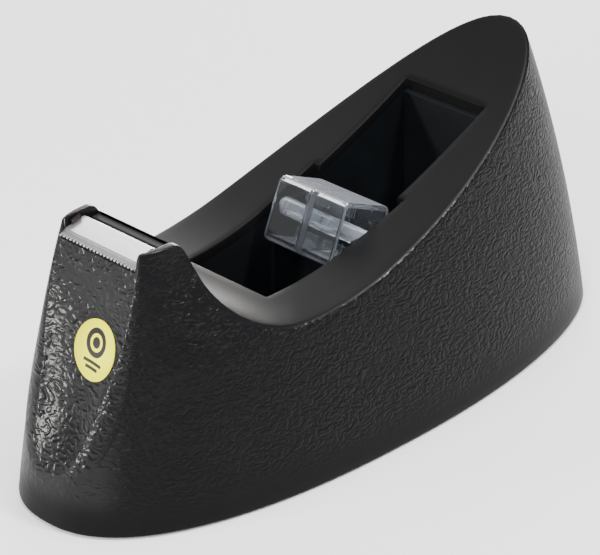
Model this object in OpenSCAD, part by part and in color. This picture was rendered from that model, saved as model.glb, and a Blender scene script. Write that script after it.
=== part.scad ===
// Weighted desktop tape dispenser: grained egg-shaped shell, tape well, square clear hub, toothed cutter.
// X runs along the body with the cutter at -X, Y across it, Z up. Origin under the middle of the footprint.

/* [Body] */
// length of the front half, from the widest section to the nose
front_len = 74.2; // [60:0.2:90]
// length of the back half, from the widest section to the tail
back_len = 85.8; // [70:0.2:110]
// full width at the table
body_w = 63.2; // [56:0.2:84]
// X of the widest section
wide_x = -5.8; // [-12:0.2:0]
// shell wall thickness
wall = 2.4; // [1.6:0.1:3.2]
// gap between the shell's lower edge and the table
skirt_lift = 0.6; // [0.2:0.1:1.2]

/* [Deck] */
// distance from the front face's top to the lowest line of the deck
nose_to_dip = 31.7; // [29:0.1:35]
// height of the lowest line of the deck
dip_z = 37.1; // [35:0.1:40]
// radius of the curl up to the cutter
curl_r = 21; // [18:0.5:24]
// sweep of that curl
curl_a = 72; // [66:1:76]
// radius of the first rise behind the dip
rise_r = 85; // [70:1:100]
// sweep of that rise
rise_a = 17.2; // [15:0.1:19]
// radius of the long rise to the tail
tail_r = 265; // [220:1:320]

/* [Nose] */
// height of the cheeks' top
cheek_z = 59; // [57:0.1:61]
// how far the front face leans back between its foot and its top
face_lean = 17.9; // [14:0.1:21]
// how far inside the body's nose the front face runs out
toe_set = -0.304; // [-0.6:0.001:0.6]
// height where the front face runs out
toe_z = 9.1; // [7:0.1:12]
// radius of the front face's hollow
face_r = 350; // [200:5:800]
// how far each cheek stands inside the well's front corner
cheek_step = 0.25; // [0:0.05:1]
// thickness of the crossbar behind the cutter
bar_t = 2; // [1.4:0.1:3]
// width of the channel between cutter and crossbar
channel_w = 2.2; // [1.6:0.1:3]
// depth of that channel
channel_d = 7; // [4:0.5:9]

/* [Well] */
// clear width of the well behind the hub
well_w = 23.7; // [22:0.1:26]
// how much wider the well is on each side beside the hub
bay_step = 1.9; // [1.4:0.1:3]
// how much wider it is on each side at its front corners
mouth_step = 0.2; // [0:0.1:1.2]
// distance from the hub's axis to the well's front wall
well_front = 29.3; // [26:0.1:33]
// distance from the hub's axis to the well's back wall
well_back = 36.4; // [32:0.1:40]
// distance from the hub's axis to the step where the well narrows
step_back = 9.7; // [7:0.1:12]
// wall of the well tub
tub_t = 1.5; // [1.2:0.1:2]
// width of the tub's rim seen along the back of the opening
back_lip = 0.8; // [0.4:0.1:1.2]
// height of the well's floor
floor_z = 7.4; // [6:0.1:10]

/* [Hub] */
// distance from the deck's lowest line to the hub's axis
dip_to_hub = 31.3; // [29:0.1:34]
// height of the hub's axis
hub_z = 39.6; // [37:0.1:42]
// width across the hub's flats
hub_s = 14.8; // [13:0.1:18]
// corner radius of the hub
hub_r = 1.9; // [1:0.1:3]
// gap between each end of the hub and the well's side
hub_side_gap = 1.85; // [1.2:0.05:2.6]
// lean of the hub's flats at rest
hub_tilt = -23; // [-45:1:45]
// wall of the hub
hub_t = 1.2; // [0.9:0.1:1.8]
// radius of the spindle
axle_r = 2; // [1.5:0.1:2.6]
// how far each end of the spindle reaches into its cradle
axle_reach = 1.05; // [0.8:0.05:1.2]
// radial clearance of the hub on the spindle, and of the spindle in its cradles
run_gap = 0.05; // [0.02:0.01:0.1]

/* [Cutter] */
// sheet thickness of the cutter
blade_t = 0.7; // [0.5:0.1:1]
// gap between each end of the cutter and its cheek
blade_gap = 0.3; // [0.1:0.05:0.6]
// number of teeth
teeth = 22; // [12:1:30]
// depth of the teeth
tooth_d = 0.7; // [0.4:0.1:1.4]

/* [Underside] */
// thickness of the base plate
plate_t = 2.4; // [1.6:0.1:3]
// thickness of the non-slip pad
pad_t = 2; // [1:0.1:3]
// gap between the plate and the shell
plate_gap = 0.3; // [0.1:0.05:0.6]
// radius of the screw shanks
screw_r = 1.45; // [1.2:0.05:1.8]

/* [Label] */
// radius of the round label
label_r = 6.4; // [5:0.1:8]
// offset of the label's centre across the face
label_y = -3.9; // [-5:0.1:5]
// height of the label's centre
label_z = 37.5; // [30:0.5:45]
// thickness of the label
label_t = 0.25; // [0.1:0.05:0.5]

/* [Hidden] */
$fn = 64;
eps = 0.01;
top_z = 76;
plate_z = pad_t;
plate_top = plate_z + plate_t;
hub_bay_w = well_w + 2 * bay_step;
mouth_w = well_w + 2 * mouth_step;
cheek_gap = mouth_w - 2 * cheek_step;
half_gap = cheek_gap / 2;
hub_len = well_w - 2 * hub_side_gap;
axle_len = well_w + 2 * axle_reach;
blade_w = cheek_gap - 2 * blade_gap;

// ---- outline of the body at height z: two half superellipses, the front one necked towards the cutter
function ss(t) = t <= 0 ? 0 : t >= 1 ? 1 : t * t * (3 - 2 * t);
function kz(z) = z / 56.46;
function half_f(z) = front_len - 7.94 * kz(z) - 4.79 * pow(kz(z), 2);
function half_b(z) = back_len - 8.59 * kz(z) - 5.68 * pow(kz(z), 2);
function half_w(z) = body_w / 2 - 6.03 * kz(z) - 1.38 * pow(kz(z), 2);
toe_x = wide_x - half_f(toe_z) + toe_set;
nose_x = toe_x + face_lean;
dip_x = nose_x + nose_to_dip;
hub_x = dip_x + dip_to_hub;
well_x0 = hub_x - well_front;
well_x1 = hub_x + well_back;
step_x = hub_x + step_back;
function neck(x, z) = 1 - 0.2 * ss((z - 34) / 24)
  * ss((x - nose_x + 3) / 13) * (1 - ss((x - nose_x - 21) / 35));
function curve(v, n) = sign(v) * pow(abs(v), 2 / n);
function rim_x(a, z, t) = wide_x
  + (cos(a) < 0 ? half_f(z) - t : half_b(z) - t) * curve(cos(a), cos(a) < 0 ? 2.37 : 2.11);
function rim_y(a, z, t) = (half_w(z) - t) * curve(sin(a), cos(a) < 0 ? 2.37 : 2.11);
function rim(a, z, t) = [rim_x(a, z, t), rim_y(a, z, t) * neck(rim_x(a, z, t), z), z];
function half_at(x, z) = half_w(z) * (x < wide_x ? pow(1 - pow((wide_x - x) / half_f(z), 2.37), 1 / 2.37)
  : pow(1 - pow((x - wide_x) / half_b(z), 2.11), 1 / 2.11));
function flat_rim(z, t, n) = [for (i = [0 : n - 1]) let (p = rim(360 * i / n, z, t)) [p[0], p[1]]];

module loft(z0, z1, t, steps, n) {
  pts = [for (k = [0 : steps]) for (i = [0 : n - 1]) rim(360 * i / n, z0 + (z1 - z0) * k / steps, t)];
  sides = [for (k = [0 : steps - 1]) for (i = [0 : n - 1]) let (j = (i + 1) % n)
           each [[k * n + i, (k + 1) * n + i, (k + 1) * n + j], [k * n + i, (k + 1) * n + j, k * n + j]]];
  bottom = [for (i = [0 : n - 1]) i];
  lid = [for (i = [n - 1 : -1 : 0]) steps * n + i];
  polyhedron(points = pts, faces = concat(sides, [bottom, lid]), convexity = 6);
}

// ---- side view: front face, cheek top, curl, deck. d moves every line into the body.
rise_p = [dip_x + rise_r * sin(rise_a), dip_z + rise_r * (1 - cos(rise_a))];
tail_c = [rise_p[0] - tail_r * sin(rise_a), rise_p[1] + tail_r * cos(rise_a)];
curl_c = [dip_x, dip_z + curl_r];
function on(c, r, a) = [c[0] + r * cos(a), c[1] + r * sin(a)];
function deck(d) = concat(
  [for (i = [18 : -1 : 0]) on(tail_c, tail_r + d, -90 + rise_a + 21 * i / 18)],
  [for (i = [9 : -1 : 0]) on([dip_x, dip_z + rise_r], rise_r + d, -90 + rise_a * i / 10)],
  [for (i = [1 : 16]) on(curl_c, curl_r + d, -90 - curl_a * i / 16)]);
curl_end = on(curl_c, curl_r, -90 - curl_a);
curl_rise = cheek_z - 1.6 - curl_end[1];
curl_top = [curl_end[0] - curl_rise / tan(curl_a), cheek_z - 1.6];

face_chord = norm([nose_x - toe_x, cheek_z - 0.7 - toe_z]);
face_dir = [nose_x - toe_x, cheek_z - 0.7 - toe_z] / face_chord;
face_in = [face_dir[1], -face_dir[0]];
face_sag = face_chord * face_chord / 8 / face_r;
function face(s, d) = [toe_x, toe_z] + face_dir * face_chord * s
  + face_in * (face_sag * 4 * s * (1 - s) + d);
function face_line(d, s0, s1) = [for (i = [0 : 10]) face(s0 + (s1 - s0) * i / 10, d)];

module side_view(d) {
  polygon(concat(face_line(d, -0.4, 0.999),
    [[nose_x + 0.2, cheek_z - 0.25], [nose_x + 0.8, cheek_z], [curl_top[0] - 2.1, cheek_z],
     [curl_top[0] - 0.9, cheek_z - 0.4], curl_top],
    [for (i = [len(deck(d)) - 1 : -1 : 0]) deck(d)[i]],
    [[wide_x + back_len + 10, top_z + 20], [wide_x + back_len + 10, -20]]));
}

cave_top = 46;
module cave_view(d) {
  polygon(concat([for (p = face_line(d, -0.4, 1)) if (p[1] < cave_top) p],
    [[face(0.78, d)[0] + 1, cave_top]],
    [for (i = [len(deck(d)) - 1 : -1 : 0]) if (deck(d)[i][1] < cave_top || deck(d)[i][0] > dip_x) deck(d)[i]],
    [[wide_x + back_len + 10, top_z + 20], [wide_x + back_len + 10, -20]]));
}

module across(w) {
  translate([0, w / 2, 0]) rotate([90, 0, 0]) linear_extrude(height = w) children();
}

// ---- seat of the cutter between the cheeks, in side view
channel_x = curl_top[0] - bar_t - channel_w;
bar_z = cheek_z - 2.3;
seat_hi = [channel_x, cheek_z - 1.35];
seat_lo = [nose_x + 0.6, cheek_z - 2.5];
lip_lo = [nose_x - 0.7, cheek_z - 3.5];
module notch_view() {
  polygon([[nose_x - 34, cheek_z + 9], [nose_x - 34, cheek_z - 4], [nose_x - 1.4, cheek_z - 4],
           lip_lo, seat_lo, seat_hi, [channel_x, bar_z], [curl_top[0] + 6, bar_z], [curl_top[0] + 6, cheek_z + 9]]);
}

well_in = [[well_x0, -mouth_w / 2], [step_x, -hub_bay_w / 2], [step_x, -well_w / 2], [well_x1, -well_w / 2],
           [well_x1, well_w / 2], [step_x, well_w / 2], [step_x, hub_bay_w / 2], [well_x0, mouth_w / 2]];
well_out = [[well_x0 - tub_t, -mouth_w / 2 - tub_t], [step_x + tub_t, -hub_bay_w / 2 - tub_t],
            [step_x + tub_t, -well_w / 2 - tub_t], [well_x1 + tub_t, -well_w / 2 - tub_t],
            [well_x1 + tub_t, well_w / 2 + tub_t], [step_x + tub_t, well_w / 2 + tub_t],
            [step_x + tub_t, hub_bay_w / 2 + tub_t], [well_x0 - tub_t, mouth_w / 2 + tub_t]];

boss_r = 3.2;
boss_z = 16;
boss_in = 0.65;
function boss(x) = [x, half_at(x, plate_top) - wall - boss_r + boss_in];
bosses = [boss(hub_x - 32), boss(hub_x + 32)];

module casing() {
  color([0.03, 0.03, 0.035]) {
    difference() {
      intersection() {
        loft(skirt_lift, top_z, 0, 14, 88);
        across(80) side_view(0);
      }
      intersection() {
        loft(skirt_lift - 1, top_z - 1, wall, 8, 56);
        across(70) cave_view(wall);
      }
      translate([0, 0, 20]) linear_extrude(height = 60) polygon(well_in);
      translate([well_x1 - eps, -well_w / 2, 20]) cube([back_lip + eps, well_w, 60]);
      across(cheek_gap) notch_view();
      translate([channel_x, -half_gap, bar_z - channel_d]) cube([channel_w, cheek_gap, channel_d + 3]);
    }
    for (b = bosses) for (s = [-1, 1]) translate([b[0], s * b[1], plate_top])
      difference() {
        cylinder(h = boss_z - plate_top, r = boss_r);
        translate([0, 0, -eps]) cylinder(h = 9, r = screw_r + run_gap);
      }
  }
}

// everything below the deck's surface moved down by d
module under_deck(d, w) {
  across(w) polygon(concat(deck(d), [[deck(d)[len(deck(d)) - 1][0], -20], [wide_x + back_len + 10, -20]]));
}

// a strip that follows the deck's underside
module deck_strip(d0, d1, w) {
  across(w) polygon(concat(deck(d0), [for (i = [len(deck(d1)) - 1 : -1 : 0]) deck(d1)[i]]));
}

cradle_top = hub_z + 1.2;
cradle_side = mouth_w / 2 + (hub_bay_w - mouth_w) / 2 * (well_front - 4.5) / (well_front + step_back) - 0.08;
lead_gap = run_gap + 0.1;
module cradle_slot() {
  translate([hub_x, 0, hub_z]) rotate([-90, 0, 0]) cylinder(h = 40, r = axle_r + run_gap);
  translate([hub_x - axle_r - lead_gap, 0, hub_z - 0.3]) cube([2 * (axle_r + lead_gap), 40, 20]);
}

module cradle() {
  difference() {
    translate([hub_x - 4.5, well_w / 2, floor_z - eps])
      cube([step_x - hub_x + 5, cradle_side - well_w / 2, cradle_top - floor_z + eps]);
    cradle_slot();
  }
  translate([hub_x - 4.5, cradle_side - 0.02, floor_z - eps])
    cube([step_x - hub_x + 5, hub_bay_w / 2 + 0.5 - cradle_side, hub_z - axle_r - 0.7 - floor_z]);
}

module well_tub() {
  color([0.02, 0.02, 0.022]) {
    difference() {
      intersection() {
        union() {
          intersection() {
            translate([0, 0, floor_z - tub_t]) linear_extrude(height = 70) polygon(well_out);
            under_deck(wall, 60);
          }
          intersection() {
            deck_strip(wall, wall + 1.5, 60);
            union() {
              translate([well_x0 - 4, -hub_bay_w / 2 - 3, 20])
                cube([step_x + tub_t - well_x0 + 4, hub_bay_w + 6, 50]);
              translate([step_x, -well_w / 2 - tub_t - 1.2, 20])
                cube([well_x1 - step_x + 3, well_w + 2 * tub_t + 2.4, 50]);
            }
          }
        }
        // kept inside the side walls where a short or narrow body brings them close
        loft(skirt_lift - 1, top_z - 1, wall, 8, 56);
      }
      translate([0, 0, floor_z]) linear_extrude(height = 70) polygon(well_in);
    }
    cradle();
    mirror([0, 1, 0]) cradle();
    for (x = [well_x0 + 6, well_x1 - 6]) for (s = [-1, 1])
      translate([x, s * 9, plate_top]) cylinder(h = floor_z - plate_top, r = 2);
  }
}

// ---- weights
ballast_gap = 5;
weight_z0 = plate_top;
rear_screws = [[well_x1 + 19.6, 9], [well_x1 + 19.6, -9]];
front_screws = [[well_x0 - 20.7, 9], [well_x0 - 20.7, -9]];
module ballast_body(top) {
  intersection() {
    loft(weight_z0, 70, wall + 1.6, 6, 44);
    across(60) cave_view(wall + 1.6);
    children();
  }
}

module ballast_rear() {
  color([0.2, 0.2, 0.21]) difference() {
    ballast_body() translate([well_x1 + tub_t + ballast_gap, -40, 0]) cube([40, 80, 54]);
    for (p = rear_screws) translate([p[0], p[1], weight_z0 - 1]) cylinder(h = 10, r = screw_r + run_gap);
  }
}

module ballast_front() {
  color([0.2, 0.2, 0.21]) difference() {
    ballast_body() translate([toe_x, -40, 0]) cube([well_x0 - tub_t - ballast_gap - toe_x, 80, 42]);
    for (p = front_screws) translate([p[0], p[1], weight_z0 - 1]) cylinder(h = 10, r = screw_r + run_gap);
  }
}

// ---- countersunk screw, head down on the plate's lower face
head_r = 2.7;
head_h = 1.25;
module screw(len) {
  difference() {
    union() {
      cylinder(h = head_h, r1 = head_r, r2 = screw_r);
      cylinder(h = len - 0.8, r = screw_r);
      translate([0, 0, len - 0.8]) cylinder(h = 0.8, r1 = screw_r, r2 = screw_r * 0.5);
    }
    for (a = [0, 90]) rotate([0, 0, a]) translate([-1.5, -0.3, -eps]) cube([3, 0.6, 0.8]);
  }
}

module screw_seat() {
  translate([0, 0, -eps]) cylinder(h = head_h + eps, r1 = head_r + 0.05, r2 = screw_r + 0.05);
  translate([0, 0, -eps]) cylinder(h = plate_t + 2 * eps, r = screw_r + 0.05);
}

module base_screws() {
  color([0.55, 0.55, 0.57]) for (b = bosses) for (s = [-1, 1])
    translate([b[0], s * b[1], plate_z]) screw(10);
}

module ballast_screws() {
  color([0.55, 0.55, 0.57]) for (p = concat(rear_screws, front_screws))
    translate([p[0], p[1], plate_z]) screw(9);
}

module base_plate() {
  color([0.05, 0.05, 0.055]) difference() {
    translate([0, 0, plate_z]) linear_extrude(height = plate_t)
      polygon(flat_rim(plate_top, wall + plate_gap, 72));
    for (b = bosses) for (s = [-1, 1]) translate([b[0], s * b[1], plate_z]) screw_seat();
    for (p = concat(rear_screws, front_screws)) translate([p[0], p[1], plate_z]) screw_seat();
  }
}

pad_inset = 10.5;
module foot_pad() {
  color([0.1, 0.1, 0.1]) linear_extrude(height = pad_t) polygon(flat_rim(0, pad_inset, 64));
}

// ---- cutter: plate on the seat, toothed lip in front, tongue down into the channel, ends turned up
tab_t = 0.5;
tip = [lip_lo[0] - 0.35, lip_lo[1] - 0.1];
function blade_up(p) = [p[0] - 0.17, p[1] + blade_t];
module cutter_blade() {
  color([0.8, 0.8, 0.82]) {
    intersection() {
      across(blade_w) polygon([lip_lo, seat_lo, seat_hi, [channel_x, bar_z - channel_d + 2],
        [channel_x + blade_t, bar_z - channel_d + 2], [channel_x + blade_t, seat_hi[1] + blade_t + 0.13],
        blade_up(seat_lo), [lip_lo[0] - 0.45, lip_lo[1] + 0.55]]);
      translate([0, 0, 40]) linear_extrude(height = 30) polygon(concat(
        [for (i = [0 : 2 * teeth])
          [lip_lo[0] - 0.45 + (i % 2 == 1 ? 0 : tooth_d), -blade_w / 2 + blade_w * i / teeth / 2]],
        [[curl_top[0] + 6, blade_w / 2], [curl_top[0] + 6, -blade_w / 2]]));
    }
    for (s = [-1, 1]) translate([nose_x + 1.6, s * (blade_w / 2 - tab_t / 2) - tab_t / 2, seat_hi[1] - 0.1])
      cube([2.6, tab_t, 1.3]);
  }
}

// ---- round label on the front face
module front_label() {
  s_mid = (label_z - toe_z) / (cheek_z - 0.7 - toe_z);
  c = face(s_mid, 0);
  color([0.93, 0.9, 0.35]) intersection() {
    across(60) polygon(concat(face_line(0, -0.4, 0.999),
      [for (i = [10 : -1 : 0]) face_line(-label_t, -0.4, 0.999)[i]]));
    translate([c[0], label_y, c[1]]) rotate([0, -90 + atan2(face_dir[0], face_dir[1]), 0])
      translate([0, 0, -4]) cylinder(h = 8, r = label_r);
  }
}

// ---- hub: two clear halves meeting on the middle plane, each a square cup with a cross of ribs
tube_r = axle_r + 1.3;
web_t = 1;
rib_t = 0.9;
rib_len = hub_len / 2 - 3;
module round_square(s, r) {
  square([s, s - 2 * r], center = true);
  square([s - 2 * r, s], center = true);
  for (x = [-1, 1]) for (y = [-1, 1]) translate([x * (s / 2 - r), y * (s / 2 - r)]) circle(r = r);
}

module hub_half() {
  translate([hub_x, 0, hub_z]) rotate([90, 0, 0]) rotate([0, 0, hub_tilt]) {
    difference() {
      linear_extrude(height = hub_len / 2) round_square(hub_s, hub_r);
      translate([0, 0, web_t]) linear_extrude(height = hub_len)
        round_square(hub_s - 2 * hub_t, max(0.3, hub_r - hub_t));
      translate([0, 0, -1]) cylinder(h = 4, r = axle_r + run_gap);
    }
    difference() {
      union() {
        cylinder(h = hub_len / 2 - 0.5, r = tube_r);
        translate([-hub_s / 2 + hub_t / 2, -rib_t / 2, 0]) cube([hub_s - hub_t, rib_t, rib_len]);
        translate([-rib_t / 2, -hub_s / 2 + hub_t / 2, 0]) cube([rib_t, hub_s - hub_t, rib_len]);
      }
      translate([0, 0, -1]) cylinder(h = hub_len, r = axle_r + run_gap);
    }
  }
}

module hub_half_near() {
  color([0.85, 0.9, 0.95, 0.35]) hub_half();
}

module hub_half_far() {
  color([0.85, 0.9, 0.95, 0.35]) mirror([0, 1, 0]) hub_half();
}

module hub_axle() {
  color([0.8, 0.85, 0.9, 0.5]) translate([hub_x, axle_len / 2, hub_z]) rotate([90, 0, 0]) {
    translate([0, 0, 0.4]) cylinder(h = axle_len - 0.8, r = axle_r);
    cylinder(h = 0.4, r1 = axle_r - 0.4, r2 = axle_r);
    translate([0, 0, axle_len - 0.4]) cylinder(h = 0.4, r1 = axle_r, r2 = axle_r - 0.4);
  }
}

casing();
well_tub();
ballast_rear();
ballast_front();
ballast_screws();
base_plate();
base_screws();
foot_pad();
cutter_blade();
front_label();
hub_axle();
hub_half_far();
hub_half_near();
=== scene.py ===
from math import atan2, ceil, cos, pi, radians, sin, sqrt, tan

import bmesh
import bpy
from bpy.props import FloatProperty, FloatVectorProperty, IntProperty, PointerProperty
from mathutils import Matrix, Vector


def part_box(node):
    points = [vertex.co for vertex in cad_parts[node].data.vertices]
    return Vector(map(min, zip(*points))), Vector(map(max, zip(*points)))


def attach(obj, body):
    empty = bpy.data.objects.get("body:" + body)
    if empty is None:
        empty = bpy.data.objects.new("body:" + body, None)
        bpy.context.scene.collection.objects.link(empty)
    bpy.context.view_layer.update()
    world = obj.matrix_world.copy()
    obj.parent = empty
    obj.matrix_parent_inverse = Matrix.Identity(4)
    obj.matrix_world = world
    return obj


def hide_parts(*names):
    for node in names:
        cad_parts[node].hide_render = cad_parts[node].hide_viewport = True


bl_info = {
    "name": "Weighted tape dispenser",
    "version": (1, 0, 0),
    "blender": (4, 5, 0),
    "location": "View3D > Sidebar > Dispenser",
    "description": "Builds a weighted bench tape dispenser over its CAD frame",
    "category": "Object",
}

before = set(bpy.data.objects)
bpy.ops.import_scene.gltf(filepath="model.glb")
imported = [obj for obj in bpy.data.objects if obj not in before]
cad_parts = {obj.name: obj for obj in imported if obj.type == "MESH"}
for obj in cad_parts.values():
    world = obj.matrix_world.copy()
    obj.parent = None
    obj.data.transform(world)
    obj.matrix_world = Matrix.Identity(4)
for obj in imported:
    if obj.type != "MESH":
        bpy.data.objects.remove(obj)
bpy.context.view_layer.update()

# ---------------------------------------------------------------- shape of the body, in millimetres

MM = 0.001
WIDE_X = -5.8
FRONT_LEN, BACK_LEN, BODY_W = 74.2, 85.8, 63.2
FRONT_POWER, BACK_POWER = 2.37, 2.11
SKIRT_Z = 0.6
WALL = 2.4
CHEEK_Z = 59.0
TOE = (-78.915, 9.1)
NOSE_X = -61.0
FACE_R = 350.0
DIP = (-29.3, 37.1)
CURL_R, CURL_A = 21.0, radians(72)
RISE_R, RISE_A = 85.0, radians(17.2)
TAIL_R = 265.0
CHEEK_GAP = 11.8  # half the gap between the cheeks
WELL_X0, STEP_X, WELL_X1 = -27.3, 11.7, 39.2
MOUTH, BAY, BACK = 12.05, 13.75, 11.85  # half the well's width at its front, beside the hub and behind it
SLOT_FLOOR = 48.0
RADIUS_ROWS, FLANK_ROWS = 5, 24

# side views of the cutter's seat, without its last three corners, and of the cutter
SEAT = [(-61.72, 55.5), (-60.4, 56.5), (-55.35, 57.65), (-55.35, 49.7), (-53.15, 49.7), (-53.15, 56.7)]
CUTTER = [(-62.12, 55.82), (-61.15, 56.42), (-60.95, 56.58), (-60.75, 56.50), (-60.5, 56.78), (-58.6, 57.22),
          (-57.0, 57.56), (-55.75, 57.83), (-55.28, 57.82), (-55.1, 57.5), (-55.07, 56.5), (-55.07, 52.2)]

HUB_HALF, HUB_CORNER, HUB_WALL, HUB_WEB = 7.4, 1.892, 1.2, 1.0
HUB_TILT = radians(-23)
TUBE_WALL, RIB = 1.3, 0.8


def box_mm(node):
    """Lowest and highest corner of a CAD node, in millimetres."""
    lo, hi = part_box(node)
    return Vector(lo) / MM, Vector(hi) / MM


def ease(t):
    """Smooth step from 0 to 1."""
    t = min(1.0, max(0.0, t))
    return t * t * (3 - 2 * t)


def half_front(z):
    """Length from the widest section to the nose, at a height."""
    k = z / 56.46
    return FRONT_LEN - 7.94 * k - 4.79 * k * k


def half_back(z):
    """Length from the widest section to the tail, at a height."""
    k = z / 56.46
    return BACK_LEN - 8.59 * k - 5.68 * k * k


def half_width(z):
    """Half the greatest width, at a height."""
    k = z / 56.46
    return BODY_W / 2 - 6.03 * k - 1.38 * k * k


def neck(x, z):
    """How much the flanks are drawn in beside the cutter."""
    return 1 - 0.2 * ease((z - 34) / 24) * ease((x - NOSE_X + 3) / 13) * (1 - ease((x - NOSE_X - 21) / 35))


def reach(x, z):
    """Share of the way from the widest section to the nose or the tail."""
    return (WIDE_X - x) / half_front(z) if x < WIDE_X else (x - WIDE_X) / half_back(z)


def power(x):
    """Power of the outline's curve."""
    return FRONT_POWER if x < WIDE_X else BACK_POWER


def half_at(x, z):
    """Half the body's width at a place on its length and height."""
    r, n = reach(x, z), power(x)
    return 0.0 if r >= 1 else half_width(z) * neck(x, z) * (1 - r ** n) ** (1 / n)


def flank(turn, z):
    """Point of the outline at height z; turn runs from 0 at the tail to pi at the nose."""
    n = FRONT_POWER if cos(turn) < 0 else BACK_POWER
    length = -half_front(z) if cos(turn) < 0 else half_back(z)
    x = WIDE_X + length * abs(cos(turn)) ** (2 / n)
    return Vector((x, half_width(z) * neck(x, z) * abs(sin(turn)) ** (2 / n), z))


def turn_at(p):
    """The outline's turn at a point of the flank."""
    n = power(p.x)
    along = min(1.0, reach(p.x, p.z)) ** (n / 2)
    wide = min(1.0, abs(p.y) / (half_width(p.z) * neck(p.x, p.z))) ** (n / 2)
    return atan2(wide, -along if p.x < WIDE_X else along)


def flank_level(x, y, z):
    """1 on the flank, less inside and more outside."""
    n = power(x)
    return reach(x, z) ** n + (abs(y) / (half_width(z) * neck(x, z))) ** n


def flank_normal(p):
    """Outward direction of the flank."""
    e = 0.02
    g = Vector((flank_level(p.x + e, p.y, p.z) - flank_level(p.x - e, p.y, p.z),
                flank_level(p.x, p.y + e, p.z) - flank_level(p.x, p.y - e, p.z) if p.y > e else 0.0,
                flank_level(p.x, p.y, p.z + e) - flank_level(p.x, p.y, p.z - e)))
    return g.normalized()


class Profile:
    """The body's side view as one path: front face, cheek top, curl, deck and tail."""

    def __init__(self):
        chord = Vector((NOSE_X - TOE[0], CHEEK_Z - 0.7 - TOE[1]))
        self.lean = chord.normalized()
        inward = Vector((self.lean.y, -self.lean.x))
        sag = chord.length ** 2 / 8 / FACE_R
        face = []
        for i in range(-16, 400):
            s = i / 400
            face.append(Vector(TOE) + chord * s + inward * sag * 4 * s * (1 - s))
        centre = Vector((DIP[0], DIP[1] + CURL_R))
        end = centre + CURL_R * Vector((cos(-pi / 2 - CURL_A), sin(-pi / 2 - CURL_A)))
        top = Vector((end.x - (CHEEK_Z - 1.6 - end.y) / tan(CURL_A), CHEEK_Z - 1.6))
        self.curl_top = top
        crown = [Vector((NOSE_X, CHEEK_Z - 0.7)), Vector((NOSE_X + 0.2, CHEEK_Z - 0.25)),
                 Vector((NOSE_X + 0.8, CHEEK_Z)), Vector((top.x - 2.1, CHEEK_Z)),
                 Vector((top.x - 0.9, CHEEK_Z - 0.4)), top, top + (end - top) * 0.5]
        for _ in range(3):
            cut = [crown[0]]
            for a, b in zip(crown, crown[1:]):
                cut += [a * 0.82 + b * 0.18, a * 0.18 + b * 0.82]
            crown = cut + [crown[-1]]
        curl = [centre + CURL_R * Vector((cos(-pi / 2 - CURL_A * i / 80), sin(-pi / 2 - CURL_A * i / 80)))
                for i in range(80, -1, -1)]
        rise = [Vector((DIP[0] + RISE_R * sin(RISE_A * i / 60), DIP[1] + RISE_R * (1 - cos(RISE_A * i / 60))))
                for i in range(1, 61)]
        hub = rise[-1] + TAIL_R * Vector((-sin(RISE_A), cos(RISE_A)))
        tail = [hub + TAIL_R * Vector((cos(-pi / 2 + RISE_A + radians(21) * i / 200),
                                       sin(-pi / 2 + RISE_A + radians(21) * i / 200))) for i in range(1, 201)]
        self.points = face + crown + curl + rise + tail
        self.at = [0.0]
        for a, b in zip(self.points, self.points[1:]):
            self.at.append(self.at[-1] + (b - a).length)
        self.face_end = self.at[len(face)]

    def place(self, s):
        """Point and outward direction of the path at distance s along it."""
        lo, hi = 0, len(self.at) - 2
        while lo < hi:
            mid = (lo + hi + 1) // 2
            if self.at[mid] <= s:
                lo = mid
            else:
                hi = mid - 1
        a, b = self.points[lo], self.points[lo + 1]
        p = a + (b - a) * ((s - self.at[lo]) / max(1e-9, self.at[lo + 1] - self.at[lo]))
        back, ahead = self.points[max(0, lo - 1)], self.points[min(len(self.points) - 1, lo + 2)]
        way = (ahead - back).normalized()
        return p, Vector((-way.y, way.x))

    def width(self, s):
        p, _ = self.place(s)
        return half_at(p.x, p.y)

    def seek(self, test, start, stop):
        """Distance at which test turns true between start and stop."""
        for _ in range(50):
            mid = (start + stop) / 2
            if test(mid):
                stop = mid
            else:
                start = mid
        return stop


profile = Profile()


def drop(distance, radius):
    """How far a rounded edge sinks at a distance from the opening beside it."""
    if distance >= radius:
        return 0.0
    return radius - sqrt(max(0.0, radius * radius - (radius - max(0.0, distance)) ** 2))


class Rim:
    """A point where the top surface meets the flank, with its rounding."""

    def __init__(self, s, radius, y=None):
        p, n = profile.place(s)
        self.s = s
        width = half_at(p.x, p.y) if y is None else y
        self.corner = Vector((p.x, width, p.y))
        up = Vector((n.x, 0, n.y))
        side = flank_normal(self.corner)
        along = up.cross(side).normalized()
        inward = along.cross(up)
        if inward.dot(side) > 0:
            inward.negate()
        down = along.cross(side)
        if down.dot(up) > 0:
            down.negate()
        self.inward, self.down, self.radius = inward, down, radius

    def round(self, t):
        return self.corner + self.inward * self.radius * (1 - t) ** 2 + self.down * self.radius * t * t


# ---------------------------------------------------------------- settings

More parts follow.
